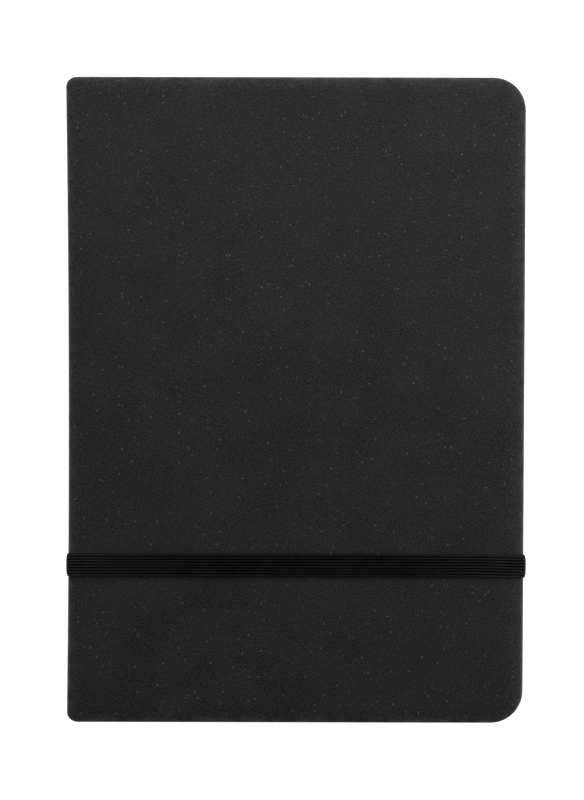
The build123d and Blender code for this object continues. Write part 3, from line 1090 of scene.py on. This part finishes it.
frontRunLow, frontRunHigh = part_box("elastic_front_run")
wrapLow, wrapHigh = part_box("elastic_wrap_fore")
elasticMiddle = (frontRunLow.y + frontRunHigh.y) / 2
halfThick = elasticShape["ribHigh"] / 2
overZ, underZ = frontRunHigh.z - halfThick, wrapLow.z + halfThick
sideX = wrapHigh.x - halfThick
middleZ, halfTall = (overZ + underZ) / 2, (overZ - underZ) / 2
seamX = wrapLow.x
slotX = elasticShape["slotX"]
slotEnd = innerFace["back"] - elasticShape["slotDepth"]
ribs = ribTree()


def elasticPiece(name, points, radius, web):
    shape = elasticShape
    piece = pathPiece(name, runOf(points, radius))
    return growPiece(piece, ribs, {
        "Ribs": shape["ribs"], "Pitch": shape["pitch"], "Rib Width": shape["ribWide"],
        "Rib Height": shape["ribHigh"], "Web Width": shape["webWide"],
        "Web Height": web, "Uneven": shape["uneven"], "Wander": shape["wander"],
        "Cup": shape["cup"], "Side": foreEdge - shape["cupFrom"], "Seed": shape["seed"],
        "Finish": finishes["woven_elastic"]}, "woven_elastic", 60.0)


acrossFront = elasticPiece("elastic_across_front", [(-seamX, 0, overZ), (seamX, 0, overZ)], 0,
                           elasticShape["webHigh"])
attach(acrossFront, "elastic_strap")
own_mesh(acrossFront)
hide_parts("elastic_front_run")
for end, way in (("spine", -1), ("fore", 1)):
    besideX = way * (sideX - elasticShape["snug"][end])
    aroundSide = elasticPiece(f"elastic_round_{end}_side", [
        (way * seamX, 0, overZ), (besideX, 0, overZ), (besideX, 0, underZ),
        (way * seamX, 0, underZ)], elasticShape["turn"], elasticShape["sideWeb"])
    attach(aroundSide, "elastic_strap")
    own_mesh(aroundSide)
    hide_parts(f"elastic_wrap_{end}")
    underBack = elasticPiece(f"elastic_under_{end}_side", [
        (way * seamX, 0, underZ), (way * slotX, 0, underZ), (way * slotX, 0, slotEnd)],
        elasticShape["turn"], elasticShape["sideWeb"])
    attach(underBack, "back_cover")
    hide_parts(f"elastic_anchor_{end}")
print("elastic wrapped round")

# Construction that keeps its own shape
for node, slot in (("spine_inlay", "greyboard"), ("sewing_thread", "linen_thread"),
                   ("spine_gauze", "bookbinding_gauze")):
    inside = frame["nodes"][node]
    inside.data.materials.clear()
    inside.data.materials.append(finishes[slot])

# Stage
stagePlan = {
    "floor": (0.9, 0.9, 0.9), "floorHalf": 3.0, "glow": 1.0, "world": 0.015,
    "lights": [
        # name, size, place, strength in watts
        ("headPanel", (0.9, 0.35), (0.0, 0.62, 0.36), 2.4),
        ("headWindow", (1.0, 0.5), (0.25, 0.55, 0.75), 1.1),
        ("forePanel", (0.3, 0.9), (0.62, 0.1, 0.2), 0.6),
        ("spinePanel", (0.3, 0.9), (-0.62, -0.1, 0.16), 0.72),
        ("foreStrip", (0.9, 0.12), (0.45, -0.03, 0.16), 1.0),
        ("spineStrip", (0.9, 0.12), (-0.48, -0.08, 0.1), 0.55),
    ],
}


def makeStage():
    plan = stagePlan
    bm = bmesh.new()
    bmesh.ops.create_grid(bm, x_segments=4, y_segments=4, size=plan["floorHalf"])
    floor = linkMesh("paleFloor", bm)
    floor.location.z = cadLow.z - 0.02 * mm
    material, tree, shader = startFinish("paleFloor", 0.9, 0.1, plan["floor"])
    shader.inputs["Emission Color"].default_value = (1, 1, 1, 1)
    shader.inputs["Emission Strength"].default_value = plan["glow"]
    floor.data.materials.append(material)
    world = bpy.data.worlds.new("softRoom")
    world.use_nodes = True
    tree = world.node_tree
    ground = tree.nodes["Background"]
    ground.inputs["Color"].default_value = (1, 1, 1, 1)
    # Pale to the camera past the floor, though it lights little
    seen = addNode(tree, "ShaderNodeLightPath").outputs["Is Camera Ray"]
    tree.links.new(mathNode(tree, "MAXIMUM", seen, plan["world"]), ground.inputs["Strength"])
    scene.world = world
    for name, size, place, power in plan["lights"]:
        data = bpy.data.lights.new(name, "AREA")
        data.shape = "RECTANGLE"
        data.size, data.size_y = size
        data.energy = power
        light = bpy.data.objects.new(name, data)
        light.location = place
        light.rotation_euler = (-Vector(place)).to_track_quat("-Z", "Y").to_euler()
        scene.collection.objects.link(light)
    scene.view_settings.view_transform = "Standard"


makeStage()
print("stage lit")
